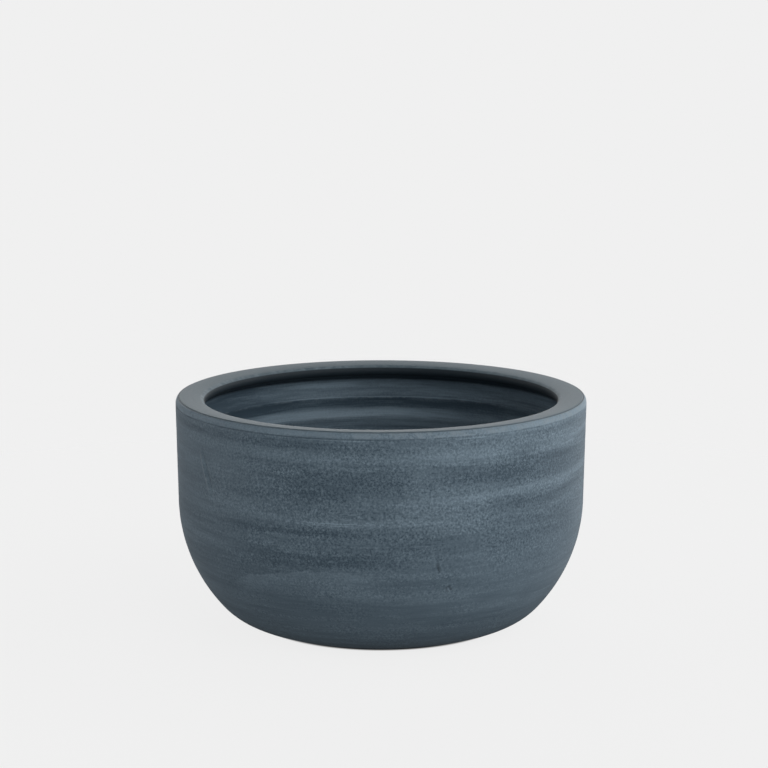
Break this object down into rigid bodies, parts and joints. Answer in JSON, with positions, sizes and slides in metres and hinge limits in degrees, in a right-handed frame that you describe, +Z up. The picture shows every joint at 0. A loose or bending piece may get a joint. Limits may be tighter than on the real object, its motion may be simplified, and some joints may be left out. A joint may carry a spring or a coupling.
{
  "type": "bowl planter",
  "caption": "Low round planter bowl of thrown clay with a thick rolled-in rim, throwing rings inside, a drain hole closed by a lift-out rubber plug, and pads under its foot.",
  "frame": {"origin": "middle of the standing surface, under the pads, on the axis of the bowl", "axes": "+Z up along the axis of the bowl; +X along the plug's pinch tab"},
  "size_m": [0.41, 0.41, 0.229],
  "materials": {
    "washed_clay": "matte brushed wash",
    "plug_rubber": "matte moulded",
    "pad_rubber": "matte"
  },
  "bodies": {
    "pot": {"pot_body": "washed_clay", "foot_pad_1": "pad_rubber", "foot_pad_2": "pad_rubber", "foot_pad_3": "pad_rubber", "foot_pad_4": "pad_rubber"},
    "plug": {"drain_plug": "plug_rubber"}
  },
  "joints": [
    {"name": "plug_lift", "type": "slide", "parent": "pot", "child": "plug", "axis": [0, 0, 1], "range_m": [0, 0.24]}
  ]
}
